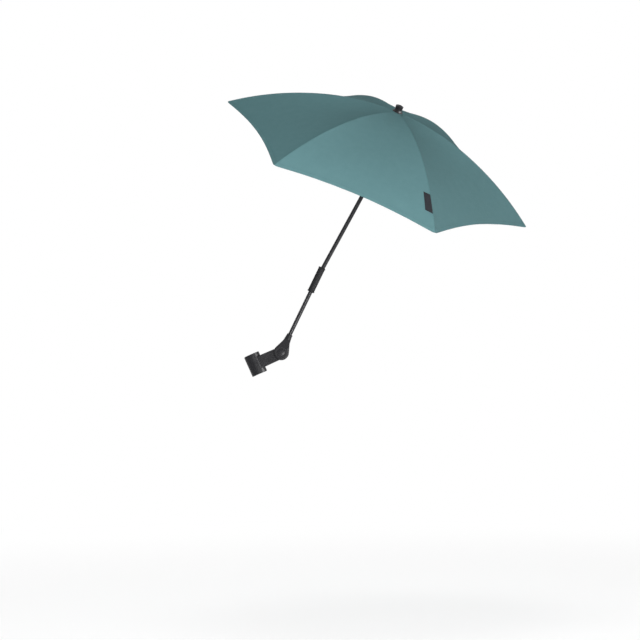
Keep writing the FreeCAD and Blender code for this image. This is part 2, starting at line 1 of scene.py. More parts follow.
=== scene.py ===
"""Looks of the pram parasol: sewn canopy, label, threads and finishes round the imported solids.

All sizes are metres in the part's own frame. The cloth is cut in halves of a panel, and each half
hangs on its own rib. When the canopy folds, a half narrows beside its rib, and the two halves of
a panel tuck behind each other at the panel's middle. The tape under each seam fills the strip
that opens over the rib.
"""

import math

import bpy
from mathutils import Matrix, Vector, noise


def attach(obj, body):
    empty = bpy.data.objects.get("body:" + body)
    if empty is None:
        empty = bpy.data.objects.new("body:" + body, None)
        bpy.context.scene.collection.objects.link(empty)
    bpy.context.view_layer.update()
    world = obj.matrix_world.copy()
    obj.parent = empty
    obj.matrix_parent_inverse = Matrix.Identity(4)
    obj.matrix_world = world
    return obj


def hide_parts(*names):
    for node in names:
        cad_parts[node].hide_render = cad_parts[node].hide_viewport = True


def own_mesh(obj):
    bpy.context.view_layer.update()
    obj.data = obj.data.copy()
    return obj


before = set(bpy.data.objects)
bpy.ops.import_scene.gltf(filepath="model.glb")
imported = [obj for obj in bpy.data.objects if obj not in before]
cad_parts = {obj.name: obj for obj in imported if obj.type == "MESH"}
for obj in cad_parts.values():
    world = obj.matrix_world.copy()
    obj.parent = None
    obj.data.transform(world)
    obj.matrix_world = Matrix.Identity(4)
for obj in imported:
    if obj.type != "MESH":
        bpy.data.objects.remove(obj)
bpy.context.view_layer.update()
mm = 0.001

# How the assembly stands, in degrees and metres
tube_lean = 24.0
arm_lean = 25.8
pole_lean = 28.6
pole_swivel = -104.6
canopy_tilt = 22.97
canopy_turn = 104.3
plate_offset = 11.5 * mm
pivot_reach = 70 * mm
sleeve_reach = 200.7 * mm
knuckle_reach = 263.5 * mm
mast_reach = 205 * mm

# Canopy
rib_count = 6
canopy_radius = 400 * mm
canopy_height = 141 * mm
crest_radius = 600 * mm
crest_reach = 190 * mm
hem_scallop = 14.5 * mm
panel_sag = 3 * mm
panel_hollow = 5.7 * mm
cloth_start = 9 * mm           # where the cut of a panel begins
cloth_hole = 12 * mm           # edge of the cloth under the cap
cloth_thick = 0.8 * mm
tip_round = 3.5 * mm
weave_run = 0.92               # length of cloth, in its weave, for each metre from the mast

# Unevenness of the cloth
wrinkle_depth = 0.7 * mm
soft_scale = 9                 # waves in a metre
soft_seed = Vector((3.1, 0.4, 0))
fine_scale = 31
fine_seed = Vector((0.7, 5.2, 0))
fine_share = 0.35              # height of the fine waves, where the soft ones have 1

# Hem
hem_width = 10 * mm
hem_swell = 0.15 * mm          # the folded hem is this much fuller on the face
hem_under = 0.7 * mm           # and this much below
hem_step = 0.4 * mm            # half the width of the step where the fold ends, on the face
hem_step_under = 0.3 * mm      # and below
hem_edge = 0.9 * mm            # the edge is rounded this far in
hem_edge_drop = 0.5            # share of the thickness that the rounding takes off the face
hem_edge_rise = 0.45           # and off the back
hem_zone = 14.5 * mm           # the close rows of the mesh lie nearer the edge than this

# Seam and the tape under it
seam_half = 5 * mm             # the seam's folded edges reach this far from the rib
seam_step = 1 * mm
seam_swell = 0.15 * mm
seam_groove = 0.12 * mm
seam_groove_half = 1.2 * mm
tape_cover = 2.5 * mm          # the tape reaches this far below the folded cloth
tape_start = 17 * mm
tape_end = 14 * mm             # distance of its end from the canopy's corner
tape_gap = 0.04 * mm
tape_thick = 0.4 * mm
far_from_edge = 20 * mm        # value of the edge map where a piece has no seam or hem

# Fold
fold_axis = (0.024, 1, -0.03)  # the way a half panel narrows: along, across and up from the rib
fold_plane = 13.4 * mm         # it narrows to a plane that passes this far beside the mast
fold_keep = 0.27               # share of its width that is left

# Label
label_width = 17.5 * mm
label_length = 46.5 * mm
label_rib_gap = 1.5 * mm
label_hem_gap = 40 * mm
label_lift = 0.3 * mm
label_thick = 0.5 * mm
label_rib = 5                  # counted from 0
label_side = -1
label_fold = 4.5 * mm          # its short ends are turned under this far
label_fold_step = 0.5 * mm
label_fold_swell = 0.18 * mm
label_edge = 0.8 * mm          # its edge is rounded this far in
label_edge_drop = 0.3          # share of the thickness that the rounding takes off

# Ribs
rib_radius = 1.6 * mm
rib_below_cloth = 3 * mm
rib_short = 5 * mm

# Thread
stitch_length = 2.5 * mm
stitch_pitch = 3.3 * mm
thread_radius = 0.28 * mm
stitch_dent = 0.12 * mm        # the thread draws the cloth in by this much
stitch_dent_half = 0.8 * mm
hem_stitch_inset = 7.5 * mm
hem_stitch_start = 2.5 * mm    # distance from the rib
seam_stitch_out = 2.4 * mm     # top-stitching on either side of a seam
seam_stitch_start = 16 * mm    # distance from the mast
seam_stitch_end = 10 * mm      # distance from the canopy's corner
label_stitch_ends = 2 * mm     # distance from the label's short ends
label_stitch_sides = 1.3 * mm  # and from its long sides
label_stitch_lift = 0.1 * mm
label_stitch_pitch = 2.4 * mm
label_stitch_length = 1.9 * mm
label_thread_radius = 0.2 * mm
bead_segments = 6
bead_rings = 5

# Tip pockets and rib ties
pocket_half = 6 * mm
pocket_length = 22 * mm
pocket_thick = 0.5 * mm
pocket_short = 1.8 * mm        # the pocket ends this far inside the canopy's corner
pocket_taper = 1.4             # half its width, for each metre from the corner
pocket_gap = 0.05 * mm         # play between the pocket and the hem
pocket_rib_gap = 0.1 * mm      # play between the rib and the pocket
pocket_end_gap = 0.4 * mm      # and past the rib's end
tie_reaches = (135 * mm, 215 * mm, 295 * mm)
tie_turns = 4
tie_pitch = 0.7 * mm
tie_bead_pitch = 0.8 * mm
tie_bead_length = 1.2 * mm

# Rows, columns and steps of the meshes
panel_rows = 56
panel_columns = 30
# Distances in mm: of the last rows from the hem's edge, and of the first columns from the rib
hem_rows = (13, 11.5, 10.6, 10.1, 9.7, 9, 8, 7.5, 7, 6, 4.5, 3, 1.8, 0.9, 0.4, 0.12, 0)
seam_columns = (0, 0.4, 0.9, 1.6, 2.8, 4.2, 5.6, 8)
tape_rows, tape_columns = 48, 16
pocket_rows, pocket_columns = 26, 12
label_rows, label_columns = 28, 14
stitch_steps = 60
label_stitch_steps = 12
tie_steps = 16                 # in a turn of thread
flat_steps = 200               # in which a flat size is added up
crisp_angle = 50               # degrees: an edge of a sheet that bends more stays crisp

# View
photo_size = 640
focal_pixels = 1759.0
view_centre = (331.0, 369.0)   # pixel where the level line of sight meets the picture
eye = Vector((0.1875, -4.3735, -0.0122))
stage_middle = (0.3, 0.0, 0.35)
clip_middle = (0, 0, 0.1)
floor_level = -0.6
floor_half = 9.0
floor_fade = (0.9, 2.4)        # distances over which the floor turns to plain white
floor_glow = 0.58
world_light = 0.27


def turn(axis, degrees):
    return Matrix.Rotation(math.radians(degrees), 4, axis)


def shift(x, y, z):
    return Matrix.Translation((x, y, z))


# Frames of the sub-assemblies, each on the one that carries it
pivot_point = turn("Y", -tube_lean) @ Vector((pivot_reach, -plate_offset, 0))
arm_frame = Matrix.Translation(pivot_point) @ turn("Y", arm_lean)
sleeve_point = arm_frame @ Vector((0, 0, sleeve_reach))
pole_frame = Matrix.Translation(sleeve_point) @ turn("Y", pole_lean)
knuckle_frame = pole_frame @ shift(0, 0, knuckle_reach) @ turn("Z", pole_swivel)
head_frame = knuckle_frame @ turn("Y", canopy_tilt)
canopy_frame = head_frame @ shift(0, 0, mast_reach) @ turn("Z", canopy_turn)


def rib_frame(index):
    """Frame at the top of the canopy whose first axis runs out along a rib."""
    return canopy_frame @ turn("Z", index * 360 / rib_count)


# Canopy surface

crest_angle = math.asin(crest_reach / crest_radius)
crest_drop = crest_radius * (1 - math.cos(crest_angle))
skirt_run = canopy_radius - crest_reach
skirt_fall = canopy_height - crest_drop
skirt_lean = math.atan2(skirt_fall, skirt_run)
skirt_radius = math.hypot(skirt_run, skirt_fall) / (2 * math.sin(skirt_lean - crest_angle))
skirt_centre_x = crest_reach - skirt_radius * math.sin(crest_angle)
skirt_centre_z = -crest_drop - skirt_radius * math.cos(crest_angle)
half_pitch = math.pi / rib_count
pitch_sine = math.sin(2 * half_pitch)
pitch_cosine = math.cos(2 * half_pitch)


def ridge_height(reach):
    """Height of the cloth over a rib at a distance from the mast."""
    if reach <= crest_reach:
        return -crest_radius + math.sqrt(crest_radius ** 2 - reach ** 2)
    return skirt_centre_z + math.sqrt(skirt_radius ** 2 - (reach - skirt_centre_x) ** 2)


def bow(across):
    """0 at a rib, 1 half way to the next."""
    return 4 * across * (1 - across)


def plain_hem(across):
    """Where the hem is cut, drawn in between the ribs."""
    return canopy_radius - hem_scallop * bow(across)


def hem_reach(across):
    """Where the sewn hem lies: as it is cut, with each corner rounded."""
    out = canopy_radius * across * pitch_sine
    corner = math.tan(half_pitch) + 4 * hem_scallop / canopy_radius
    rounding = math.sqrt(out ** 2 + tip_round ** 2) - out - tip_round
    return plain_hem(across) - corner * (rounding + tip_round * bow(across))


def wrinkle(x, y, reach, across):
    """Soft unevenness of the taut cloth, the same on both sides of a panel's middle."""
    place = Vector((x, y, 0))
    soft = noise.noise(place * soft_scale + soft_seed)
    fine = noise.noise(place * fine_scale + fine_seed)
    free = bow(across) * (reach / canopy_radius)
    return wrinkle_depth * free * (soft + fine_share * fine)


def cloth_point(index, side, reach, across, lift):
    """Point of the cloth in the part's frame; side is +1 or -1 of the rib, across up to 0.5."""
    x = reach * (1 - across * (1 - pitch_cosine))
    y = side * reach * across * pitch_sine
    share = (reach - cloth_start) / (plain_hem(across) - cloth_start)
    sag = panel_sag * reach / canopy_radius + panel_hollow * (4 * share * (1 - share)) ** 2
    z = ridge_height(reach) - sag * bow(across)
    around = turn("Z", index * 360 / rib_count) @ Vector((x, y, 0))
    z += wrinkle(around.x, around.y, reach, across)
    return rib_frame(index) @ Vector((x, y, z + lift))


# Fold of a half panel


def seam_opening(reach):
    """How far the edge of a half panel moves off the middle of its rib in the fold."""
    axis = Vector(fold_axis).normalized()
    edge = Vector((reach, 0, ridge_height(reach)))
    return (1 - fold_keep) * axis.y * axis.dot(Vector((0, fold_plane, 0)) - edge)


def rib_name(index):
    return "rib_%d" % (index + 1)


def half_name(stem, index, side):
    """Name of a piece that belongs to one side of a rib."""
    return "%s_%d_%s" % (stem, index + 1, "left" if side > 0 else "right")


def hang_on_rib(piece, index, side=None):
    """Rides on a rib; a piece with a side, or 0, gets a mesh of its own."""
    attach(piece, rib_name(index))
    if side is not None:
        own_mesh(piece)


# Mesh helpers

def new_piece(name, mesh, finish):
    """Object in the scene with one finish."""
    piece = bpy.data.objects.new(name, mesh)
    bpy.context.scene.collection.objects.link(piece)
    mesh.materials.clear()
    mesh.materials.append(finish)
    return piece


def shell_mesh(name, face, back, flip):
    """Closed thin sheet from two grids of points, its face first."""
    rows, columns = len(face), len(face[0])
    points = [p for line in face for p in line] + [p for line in back for p in line]
    half = rows * columns

    def at(i, j, low=0):
        return i * columns + j + low * half

    quads = []
    for i in range(rows - 1):
        for j in range(columns - 1):
            quads.append((at(i, j), at(i + 1, j), at(i + 1, j + 1), at(i, j + 1)))
            quads.append((at(i, j, 1), at(i, j + 1, 1), at(i + 1, j + 1, 1), at(i + 1, j, 1)))
    for i in range(rows - 1):
        quads.append((at(i, 0), at(i, 0, 1), at(i + 1, 0, 1), at(i + 1, 0)))
        end = columns - 1
        quads.append((at(i, end), at(i + 1, end), at(i + 1, end, 1), at(i, end, 1)))
    for j in range(columns - 1):
        quads.append((at(0, j), at(0, j + 1), at(0, j + 1, 1), at(0, j, 1)))
        end = rows - 1
        quads.append((at(end, j), at(end, j, 1), at(end, j + 1, 1), at(end, j + 1)))
    if flip:
        quads = [tuple(reversed(q)) for q in quads]
    mesh = bpy.data.meshes.new(name)
    mesh.from_pydata(points, [], quads)
    mesh.update()
    for polygon in mesh.polygons:
        polygon.use_smooth = True
    return mesh


def sharpen(mesh, degrees):
    """Edges that bend more than this stay crisp."""
    mesh.set_sharp_from_angle(angle=math.radians(degrees))


def set_uv(mesh, name, pairs):
    """UV map from one pair of values for each point of the mesh."""
    layer = mesh.uv_layers.new(name=name)
    for loop in mesh.loops:
        layer.data[loop.index].uv = pairs[loop.vertex_index]


def sheet_piece(name, face, back, flip, finish, **maps):
    """Piece from a thin sheet; each map is a list with a pair of values for each point of the face."""
    mesh = shell_mesh(name, face, back, flip)
    for map_name, pairs in maps.items():
        set_uv(mesh, map_name, pairs + pairs)
    sharpen(mesh, crisp_angle)
    return new_piece(name, mesh, finish)


# Shader helpers

def feed(tree, target, name, value):
    """Links a socket to an input, or sets the input's own value."""
    socket = target.inputs[name]
    if isinstance(value, bpy.types.NodeSocket):
        tree.links.new(value, socket)
    else:
        socket.default_value = value


def math_node(tree, operation, *values):
    """Result of a sum on sockets or numbers."""
    made = tree.nodes.new("ShaderNodeMath")
    made.operation = operation
    for i, value in enumerate(values):
        feed(tree, made, i, value)
    return made.outputs[0]


def map_range(tree, value, low, high, to_low=0.0, to_high=1.0):
    """Soft step from one result to another while a value goes from low to high."""
    made = tree.nodes.new("ShaderNodeMapRange")
    made.interpolation_type = "SMOOTHSTEP"
    for name, number in zip(("Value", "From Min", "From Max", "To Min", "To Max"),
                            (value, low, high, to_low, to_high)):
        feed(tree, made, name, number)
    return made.outputs[0]


def mix_colour(tree, share, first, second):
    """Blend of two colours; the mix node keeps its colour sockets at places 6 and 7."""
    made = tree.nodes.new("ShaderNodeMix")
    made.data_type = "RGBA"
    feed(tree, made, 0, share)
    feed(tree, made, 6, first)
    feed(tree, made, 7, second)
    return made.outputs[2]


def noise_value(tree, vector, scale, detail, roughness=0.55):
    made = tree.nodes.new("ShaderNodeTexNoise")
    feed(tree, made, "Vector", vector)
    feed(tree, made, "Scale", scale)
    feed(tree, made, "Detail", detail)
    feed(tree, made, "Roughness", roughness)
    return made.outputs["Fac"]


def new_group(name, inputs, outputs):
    """Shader group with inputs, each a name and a kind, and float outputs."""
    group = bpy.data.node_groups.new(name, "ShaderNodeTree")
    for socket_name, kind in inputs:
        group.interface.new_socket(socket_name, in_out="INPUT", socket_type=kind)
    for socket_name in outputs:
        group.interface.new_socket(socket_name, in_out="OUTPUT", socket_type="NodeSocketFloat")
    return group, group.nodes.new("NodeGroupInput"), group.nodes.new("NodeGroupOutput")


def use_group(tree, group, **values):
    """Outputs of a shader group whose inputs are set by their names."""
    made = tree.nodes.new("ShaderNodeGroup")
    made.node_tree = group
    for name, value in values.items():
        feed(tree, made, name.capitalize(), value)
    return made.outputs


def new_material(name, colour, roughness):
    """Material with its shader's own colour and roughness set."""
    made = bpy.data.materials.new(name)
    made.use_nodes = True
    shader = made.node_tree.nodes["Principled BSDF"]
    shader.inputs["Base Color"].default_value = (*colour, 1)
    shader.inputs["Roughness"].default_value = roughness
    made.diffuse_color = (*colour, 1)
    return made, made.node_tree, shader


def add_bump(tree, shader, height, distance, strength):
    bump = tree.nodes.new("ShaderNodeBump")
    feed(tree, bump, "Height", height)
    feed(tree, bump, "Distance", distance)
    feed(tree, bump, "Strength", strength)
    tree.links.new(bump.outputs[0], shader.inputs["Normal"])


def srgb(red, green, blue):
    """Linear colour from the usual 0 to 255 values."""
    def linear(value):
        value /= 255
        return value / 12.92 if value <= 0.04045 else ((value + 0.055) / 1.055) ** 2.4
    return linear(red), linear(green), linear(blue)


# Shared effects

def weave_effect():
    """Plain weave: threads over and under each other, with uneven fibres."""
    group, taken, given = new_group(
        "plain_weave",
        [("Vector", "NodeSocketVector"), ("Pitch", "NodeSocketFloat")],
        ["Height", "Tone"],
    )
    split = group.nodes.new("ShaderNodeSeparateXYZ")
    group.links.new(taken.outputs["Vector"], split.inputs[0])
    waves = []
    for axis in (0, 1):
        turns = math_node(group, "DIVIDE", split.outputs[axis], taken.outputs["Pitch"])
        waves.append(math_node(group, "SINE", math_node(group, "MULTIPLY", turns, math.pi)))
    over = math_node(group, "GREATER_THAN", math_node(group, "MULTIPLY", *waves), 0.0)
    warp, weft = [math_node(group, "ABSOLUTE", w) for w in waves]
    under = math_node(group, "SUBTRACT", 1.0, over)
    threads = math_node(
        group, "ADD", math_node(group, "MULTIPLY", warp, over), math_node(group, "MULTIPLY", weft, under)
    )
    fibre = noise_value(group, taken.outputs["Vector"], scale=900.0, detail=2.0)
    height = math_node(group, "MULTIPLY_ADD", fibre, 0.35, threads)
    group.links.new(height, given.inputs["Height"])
    patch = noise_value(group, taken.outputs["Vector"], scale=55.0, detail=4.0)
    tone = math_node(group, "MULTIPLY_ADD", threads, 0.35, math_node(group, "MULTIPLY", patch, 0.65))
    group.links.new(tone, given.inputs["Tone"])
    return group


def moulding_effect():
    """Fine spark-eroded texture of a moulding, with soft patches of handling."""
    group, taken, given = new_group(
        "moulded_grain",
        [("Vector", "NodeSocketVector"), ("Grain", "NodeSocketFloat")],
        ["Height", "Tone", "Rub"],
    )
    vector = taken.outputs["Vector"]
    pits = noise_value(group, vector, scale=taken.outputs["Grain"], detail=2.0)
    group.links.new(pits, given.inputs["Height"])
    flow = noise_value(group, vector, scale=60.0, detail=4.0)
    tone = math_node(group, "MULTIPLY_ADD", pits, 0.3, math_node(group, "MULTIPLY", flow, 0.7))
    group.links.new(tone, given.inputs["Tone"])
    smear = noise_value(group, vector, scale=22.0, detail=5.0, roughness=0.65)
    group.links.new(map_range(group, smear, 0.5, 0.72), given.inputs["Rub"])
    return group


weave = weave_effect()
grain = moulding_effect()


# Finishes

def cloth_finish():
    """Dyed polyester canvas, with painted shade that makes it a trace darker along its seams and hem."""
    made, tree, shader = new_material("teal_canvas", srgb(97, 136, 139), 0.82)
    weave_map = tree.nodes.new("ShaderNodeUVMap")
    weave_map.uv_map = "weave"
    edge_map = tree.nodes.new("ShaderNodeUVMap")
    edge_map.uv_map = "edges"
    woven = use_group(tree, weave, vector=weave_map.outputs[0], pitch=0.9 * mm)
    split = tree.nodes.new("ShaderNodeSeparateXYZ")
    tree.links.new(edge_map.outputs[0], split.inputs[0])
    # Painted shade: the canvas is darkened in the groove of each seam and at the hem's rounded edge.
    seam = map_range(tree, split.outputs[0], 0.2 * mm, 1.2 * mm, 1.0, 0.0)
    hem = map_range(tree, split.outputs[1], 0.3 * mm, 2 * mm, 1.0, 0.0)
    seam_and_hem_shade = math_node(tree, "MAXIMUM", seam, hem)
    body = mix_colour(tree, woven["Tone"], (*srgb(90, 129, 133), 1), (*srgb(104, 143, 147), 1))
    # Painted shade: up to a quarter of the way to a darker teal where the seam and hem masks are full.
    shade = mix_colour(tree, math_node(tree, "MULTIPLY", seam_and_hem_shade, 0.25), body, (*srgb(72, 106, 109), 1))
    tree.links.new(shade, shader.inputs["Base Color"])
    rough = map_range(tree, woven["Tone"], 0.2, 0.8, 0.76, 0.9)
    tree.links.new(rough, shader.inputs["Roughness"])
    shader.inputs["Sheen Weight"].default_value = 0.05
    shader.inputs["Sheen Roughness"].default_value = 0.45
    shader.inputs["Sheen Tint"].default_value = (*srgb(97, 136, 139), 1)
    shader.inputs["Specular IOR Level"].default_value = 0.04
    near_seam = map_range(tree, split.outputs[0], 1 * mm, 9 * mm, 1.6, 0.0)
    pucker = noise_value(tree, weave_map.outputs[0], scale=260.0, detail=2.0)
    height = math_node(tree, "MULTIPLY_ADD", pucker, near_seam, woven["Height"])
    add_bump(tree, shader, height, distance=0.12 * mm, strength=0.6)
    return made


def label_finish():
    """Black woven label, finer in its weave than the canvas."""
    made, tree, shader = new_material("black_label", srgb(44, 44, 48), 0.6)
    weave_map = tree.nodes.new("ShaderNodeUVMap")
    weave_map.uv_map = "weave"
    woven = use_group(tree, weave, vector=weave_map.outputs[0], pitch=0.45 * mm)
    body = mix_colour(tree, woven["Tone"], (*srgb(36, 36, 40), 1), (*srgb(54, 54, 59), 1))
    tree.links.new(body, shader.inputs["Base Color"])
    shader.inputs["Specular IOR Level"].default_value = 0.05
    add_bump(tree, shader, woven["Height"], distance=0.1 * mm, strength=0.6)
    return made


def thread_finish(name, dark, light):
    """Twisted sewing thread."""
    made, tree, shader = new_material(name, dark, 0.7)
    place = tree.nodes.new("ShaderNodeTexCoord").outputs["Object"]
    twist = noise_value(tree, place, scale=1500.0, detail=2.0)
    body = mix_colour(tree, twist, (*dark, 1), (*light, 1))
    tree.links.new(body, shader.inputs["Base Color"])
    shader.inputs["Specular IOR Level"].default_value = 0.05
    add_bump(tree, shader, twist, distance=0.08 * mm, strength=0.5)
    return made


def plastic_finish(name, dark, light, roughness, fineness=1800.0, depth=0.05 * mm):
    """Moulded plastic with a fine texture and soft handling marks."""
    made, tree, shader = new_material(name, dark, roughness)
    place = tree.nodes.new("ShaderNodeTexCoord").outputs["Object"]
    moulded = use_group(tree, grain, vector=place, grain=fineness)
    body = mix_colour(tree, moulded["Tone"], (*dark, 1), (*light, 1))
    tree.links.new(body, shader.inputs["Base Color"])
    rough = map_range(tree, moulded["Rub"], 0.0, 1.0, roughness, roughness - 0.12)
    tree.links.new(rough, shader.inputs["Roughness"])
    shader.inputs["Specular IOR Level"].default_value = 0.15
    add_bump(tree, shader, moulded["Height"], distance=depth, strength=0.1)
    return made


def paint_finish(name, dark, light, roughness, metallic=0.0):
    """Powder coat or plated wire: a fine orange peel and faint rubbed streaks."""
    made, tree, shader = new_material(name, dark, roughness)
    place = tree.nodes.new("ShaderNodeTexCoord").outputs["Object"]
    moulded = use_group(tree, grain, vector=place, grain=700.0)
    body = mix_colour(tree, moulded["Tone"], (*dark, 1), (*light, 1))
    tree.links.new(body, shader.inputs["Base Color"])
    rough = map_range(tree, moulded["Rub"], 0.0, 1.0, roughness + 0.06, roughness - 0.08)
    tree.links.new(rough, shader.inputs["Roughness"])
    shader.inputs["Metallic"].default_value = metallic
    shader.inputs["Specular IOR Level"].default_value = 0.2
    add_bump(tree, shader, moulded["Height"], distance=0.03 * mm, strength=0.15)
    return made


canvas = cloth_finish()
label_black = label_finish()
teal_thread = thread_finish("teal_thread", srgb(70, 104, 108), srgb(98, 138, 141))
black_thread = thread_finish("black_thread", srgb(38, 38, 42), srgb(66, 66, 70))
black_plastic = plastic_finish("black_moulding", srgb(24, 24, 26), srgb(36, 36, 39), 0.4)
grip_rubber = plastic_finish("grip_rubber", srgb(24, 24, 26), srgb(34, 34, 36), 0.7,
                             fineness=1100.0, depth=0.1 * mm)
bolt_plastic = plastic_finish("bolt_head_black", srgb(30, 30, 32), srgb(42, 42, 45), 0.3)
rod_paint = paint_finish("rod_black", srgb(26, 26, 28), srgb(38, 38, 41), 0.32)
pole_paint = paint_finish("pole_satin_black", srgb(24, 24, 26), srgb(34, 34, 37), 0.55)
rib_paint = paint_finish("rib_grey", srgb(70, 72, 75), srgb(98, 100, 104), 0.42, metallic=0.4)
steel = paint_finish("bright_steel", srgb(150, 152, 156), srgb(182, 184, 188), 0.34, metallic=1.0)


# Canopy cloth

def half_panel_rows():
    """Rows from the hole to the hem: a share of the way, then a distance in from the hem."""
    shares = [("share", i / panel_rows) for i in range(panel_rows + 1)]
    return shares + [("inset", d * mm) for d in hem_rows]


def row_reach(row, across):
    """Distance of a row from the mast."""
    kind, amount = row
    if kind == "share":
        return cloth_hole + (hem_reach(across) - hem_zone - cloth_hole) * amount
    return hem_reach(across) - amount


def smooth(value, low, high):
    """Soft step from 0 at the first bound to 1 at the second."""
    share = min(1.0, max(0.0, (value - low) / (high - low)))
    return share * share * (3 - 2 * share)


def face_lift(inset, out):
    """How far the cloth's face stands over its plain surface: hem, stitch line and seam."""
    hem = hem_swell * smooth(inset, hem_width + hem_step, hem_width - hem_step)
    edge = -hem_edge_drop * cloth_thick * smooth(inset, hem_edge, 0)
    stitch = -stitch_dent * max(0, 1 - abs(inset - hem_stitch_inset) / stitch_dent_half)
    swell = seam_swell * smooth(out, seam_half + seam_step, seam_half - seam_step)
    groove = -seam_groove * smooth(out, seam_groove_half, 0)
    return hem + edge + stitch + swell + groove


def back_lift(inset):
    """How far the cloth's back stands over its plain surface: below it, and lower at the hem."""
    hem = hem_under * smooth(inset, hem_width + hem_step_under, hem_width - hem_step_under)
    edge = hem_edge_rise * (cloth_thick + hem_under) * smooth(inset, hem_edge, 0)
    return -cloth_thick - hem + edge


def half_panel_columns():
    """Shares of the way to the next rib, close together beside the seam."""
    near = [d * mm / (canopy_radius * pitch_sine) for d in seam_columns]
    first = near[-1]
    return near + [first + (0.5 - first) * i / panel_columns for i in range(1, panel_columns + 1)]


def half_panel(index, side):
    """Cloth from a rib to the middle of the panel on one side of it."""
    rows = half_panel_rows()
    columns = half_panel_columns()
    face, back, weave_uv, edge_uv = [], [], [], []
    for row in rows:
        face_line, back_line = [], []
        for across in columns:
            reach = row_reach(row, across)
            inset = hem_reach(across) - reach
            out = reach * across * pitch_sine
            face_line.append(cloth_point(index, side, reach, across, face_lift(inset, out)))
            back_line.append(cloth_point(index, side, reach, across, back_lift(inset)))
            weave_uv.append((reach * (0.5 - across), reach * weave_run))
            edge_uv.append((out, inset))
        face.append(face_line)
        back.append(back_line)
    name = half_name("canopy_cloth", index, side)
    return sheet_piece(name, face, back, side < 0, canvas, weave=weave_uv, edges=edge_uv)


def panel_flat():
    """Width, length and flat area of a half panel as it is cut."""
    length, area = 0.0, 0.0
    for i in range(flat_steps):
        low = cloth_hole + (canopy_radius - cloth_hole) * i / flat_steps
        high = cloth_hole + (canopy_radius - cloth_hole) * (i + 1) / flat_steps
        run = math.hypot((high - low) * math.cos(half_pitch), ridge_height(high) - ridge_height(low))
        length += run
        area += run * (low + high) / 2 * math.sin(half_pitch)
    return canopy_radius * math.sin(half_pitch), length, area


# Threads

def stitch_tree():
    """Geometry nodes: thread beads laid end to end along a line of edges."""
    tree = bpy.data.node_groups.new("thread_run", "GeometryNodeTree")
    tree.interface.new_socket("Geometry", in_out="INPUT", socket_type="NodeSocketGeometry")
    sizes = (("Pitch", stitch_pitch), ("Bead length", stitch_length), ("Thread radius", thread_radius))
    for name, value in sizes:
        socket = tree.interface.new_socket(name, in_out="INPUT", socket_type="NodeSocketFloat")
        socket.default_value = value
    tree.interface.new_socket("Material", in_out="INPUT", socket_type="NodeSocketMaterial")
    tree.interface.new_socket("Geometry", in_out="OUTPUT", socket_type="NodeSocketGeometry")
    taken = tree.nodes.new("NodeGroupInput")
    given = tree.nodes.new("NodeGroupOutput")
    line = tree.nodes.new("GeometryNodeMeshToCurve")
    spots = tree.nodes.new("GeometryNodeCurveToPoints")
    spots.mode = "LENGTH"
    bead = tree.nodes.new("GeometryNodeMeshUVSphere")
    bead.inputs["Segments"].default_value = bead_segments
    bead.inputs["Rings"].default_value = bead_rings
    bead.inputs["Radius"].default_value = 1.0
    size = tree.nodes.new("ShaderNodeCombineXYZ")
    half = tree.nodes.new("ShaderNodeMath")
    half.operation = "MULTIPLY"
    half.inputs[1].default_value = 0.5
    place = tree.nodes.new("GeometryNodeInstanceOnPoints")
    real = tree.nodes.new("GeometryNodeRealizeInstances")
    paint = tree.nodes.new("GeometryNodeSetMaterial")
    links = (
        (taken.outputs["Geometry"], line.inputs[0]),
        (line.outputs[0], spots.inputs["Curve"]),
        (taken.outputs["Pitch"], spots.inputs["Length"]),
        (taken.outputs["Bead length"], half.inputs[0]),
        (taken.outputs["Thread radius"], size.inputs["X"]),
        (taken.outputs["Thread radius"], size.inputs["Y"]),
        (half.outputs[0], size.inputs["Z"]),
        (spots.outputs["Points"], place.inputs["Points"]),
        (bead.outputs["Mesh"], place.inputs["Instance"]),
        (spots.outputs["Rotation"], place.inputs["Rotation"]),
        (size.outputs[0], place.inputs["Scale"]),
        (place.outputs[0], real.inputs[0]),
        (real.outputs[0], paint.inputs["Geometry"]),
        (taken.outputs["Material"], paint.inputs["Material"]),
        (paint.outputs[0], given.inputs[0]),
    )
    for start, end in links:
        tree.links.new(start, end)
    return tree


thread_run = stitch_tree()


def thread_piece(name, lines, finish, **sizes):
    """Beads of thread along open lines of points, as one plain mesh."""
    points, edges = [], []
    for line in lines:
        start = len(points)
        points += line
        edges += [(start + i, start + i + 1) for i in range(len(line) - 1)]
    guide = bpy.data.meshes.new(name + "_guide")
    guide.from_pydata(points, edges, [])
    holder = bpy.data.objects.new(name + "_guide", guide)
    bpy.context.scene.collection.objects.link(holder)
    modifier = holder.modifiers.new("thread", "NODES")
    modifier.node_group = thread_run
    for item in thread_run.interface.items_tree:
        if item.item_type == "SOCKET" and item.in_out == "INPUT":
            if item.name == "Material":
                modifier[item.identifier] = finish
            elif item.name in sizes:
                modifier[item.identifier] = sizes[item.name]
    ready = holder.evaluated_get(bpy.context.evaluated_depsgraph_get())
    mesh = bpy.data.meshes.new_from_object(ready)
    mesh.name = name
    bpy.data.objects.remove(holder)
    for polygon in mesh.polygons:
        polygon.use_smooth = True
    return new_piece(name, mesh, finish)


def panel_stitches(index, side):
    """A line of stitches along the hem of a half panel and one along its seam."""
    first = hem_stitch_start / (canopy_radius * pitch_sine)
    seam_run = canopy_radius - seam_stitch_start - seam_stitch_end
    hem, seam = [], []
    for i in range(stitch_steps + 1):
        across = first + (0.5 - first) * i / stitch_steps
        reach = hem_reach(across) - hem_stitch_inset
        hem.append(cloth_point(index, side, reach, across, hem_swell))
        reach = seam_stitch_start + seam_run * i / stitch_steps
        across = seam_stitch_out / (reach * pitch_sine)
        seam.append(cloth_point(index, side, reach, across, seam_swell))
    return thread_piece(half_name("stitches", index, side), [hem, seam], teal_thread)


# Seam tape

def tape_reach(share):
    """Distance from the mast at a share of the tape's way."""
    return tape_start + (canopy_radius - tape_end - tape_start) * share


def tape_half(reach):
    """Half the tape's width: it fills what opens in the fold, and keeps to its own rib at the crown."""
    return min(seam_opening(reach) + tape_cover, 0.5 * reach)


